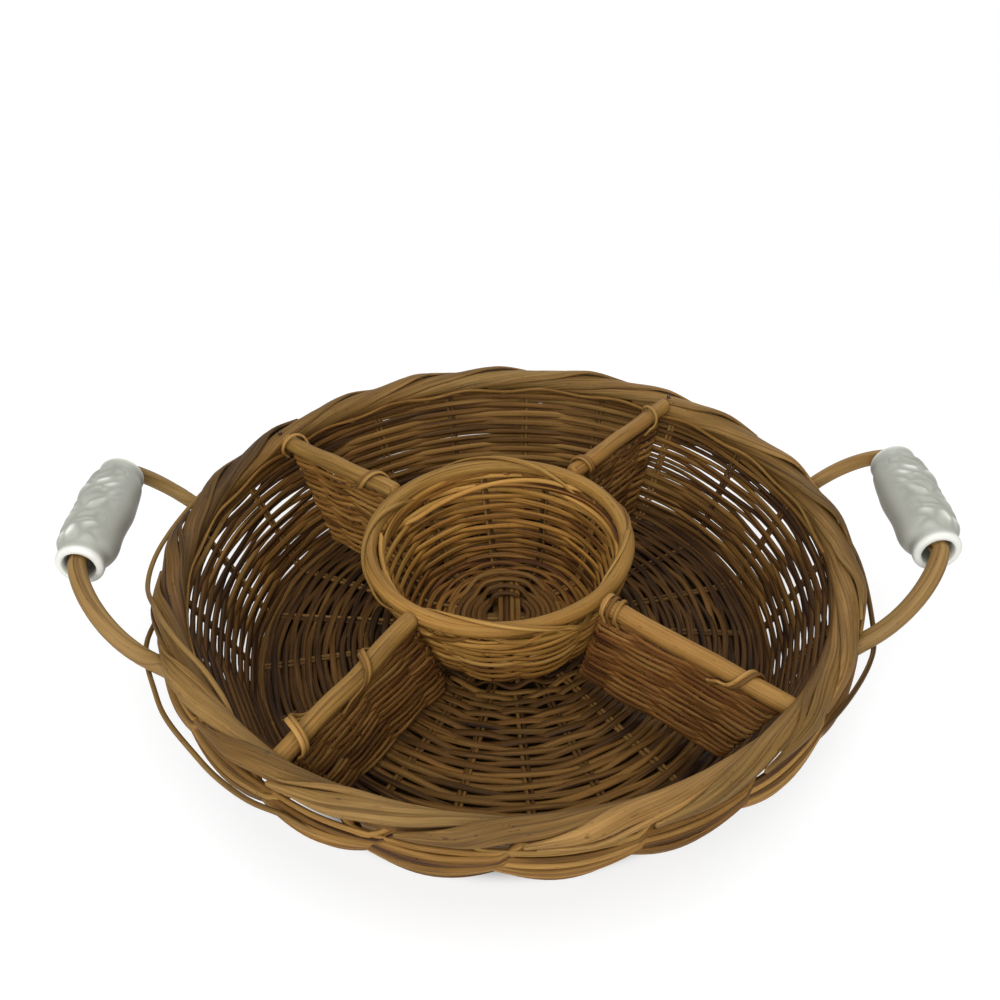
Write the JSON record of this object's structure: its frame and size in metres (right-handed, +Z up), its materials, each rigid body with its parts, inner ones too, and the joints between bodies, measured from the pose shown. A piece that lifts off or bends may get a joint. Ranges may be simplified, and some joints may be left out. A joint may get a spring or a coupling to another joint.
{
  "type": "sectioned serving basket",
  "caption": "Round woven rattan serving basket with a central cup, woven dividers, a rolled border and rod handles with loose ceramic grips.",
  "frame": {"origin": "on the table under the middle of the basket", "axes": "+X towards the right handle, +Y towards the back, +Z up"},
  "size_m": [0.455, 0.3732, 0.1164],
  "materials": {
    "dark_rattan": "dark stained rattan core, satin",
    "rattan": "golden brown rattan, satin",
    "pale_rattan": "pale golden rattan with long grain, satin",
    "ceramic": "white glaze, glossy"
  },
  "bodies": {
    "basket": {"stake_pair_01": "dark_rattan", "stake_pair_02": "dark_rattan", "stake_pair_03": "dark_rattan", "stake_pair_04": "dark_rattan", "stake_pair_05": "dark_rattan", "stake_pair_06": "dark_rattan", "stake_pair_07": "dark_rattan", "stake_pair_08": "dark_rattan", "stake_pair_09": "dark_rattan", "stake_pair_10": "dark_rattan", "stake_pair_11": "dark_rattan", "stake_pair_12": "dark_rattan", "stake_pair_13": "dark_rattan", "stake_pair_14": "dark_rattan", "stake_pair_15": "dark_rattan", "stake_pair_16": "dark_rattan", "stake_pair_17": "dark_rattan", "stake_pair_18": "dark_rattan", "stake_pair_19": "dark_rattan", "stake_pair_20": "dark_rattan", "stake_pair_21": "dark_rattan", "base_weaver": "dark_rattan", "side_weaver": "dark_rattan", "foot_wale": "dark_rattan", "base_sticks_upper": "dark_rattan", "base_sticks_lower": "dark_rattan", "cup_sticks_upper": "dark_rattan", "cup_sticks_lower": "dark_rattan", "cup_stake_pair_01": "dark_rattan", "cup_stake_pair_02": "dark_rattan", "cup_stake_pair_03": "dark_rattan", "cup_stake_pair_04": "dark_rattan", "cup_stake_pair_05": "dark_rattan", "cup_stake_pair_06": "dark_rattan", "cup_stake_pair_07": "dark_rattan", "cup_stake_pair_08": "dark_rattan", "cup_stake_pair_09": "dark_rattan", "cup_stake_pair_10": "dark_rattan", "cup_stake_pair_11": "dark_rattan", "right_handle_rod": "rattan", "left_handle_rod": "rattan", "lower_border_right": "rattan", "lower_border_back": "rattan", "lower_border_left": "rattan", "lower_border_front": "rattan", "cup_weaver": "rattan", "divider_weaver_1": "rattan", "divider_weaver_2": "rattan", "divider_weaver_3": "rattan", "divider_weaver_4": "rattan", "border_roll": "pale_rattan", "cup_hoop": "pale_rattan", "divider_frame_1": "pale_rattan", "divider_frame_2": "pale_rattan", "divider_frame_3": "pale_rattan", "divider_frame_4": "pale_rattan"},
    "right_grip": {"right_handle_grip": "ceramic"},
    "left_grip": {"left_handle_grip": "ceramic"}
  },
  "joints": [
    {"name": "right_grip_spin", "type": "hinge", "parent": "basket", "child": "right_grip", "pos_m": [0.213, 0, 0.10195], "axis": [0, 1, 0], "continuous": true},
    {"name": "left_grip_spin", "type": "hinge", "parent": "basket", "child": "left_grip", "pos_m": [-0.213, 0, 0.10195], "axis": [0, 1, 0], "continuous": true}
  ]
}
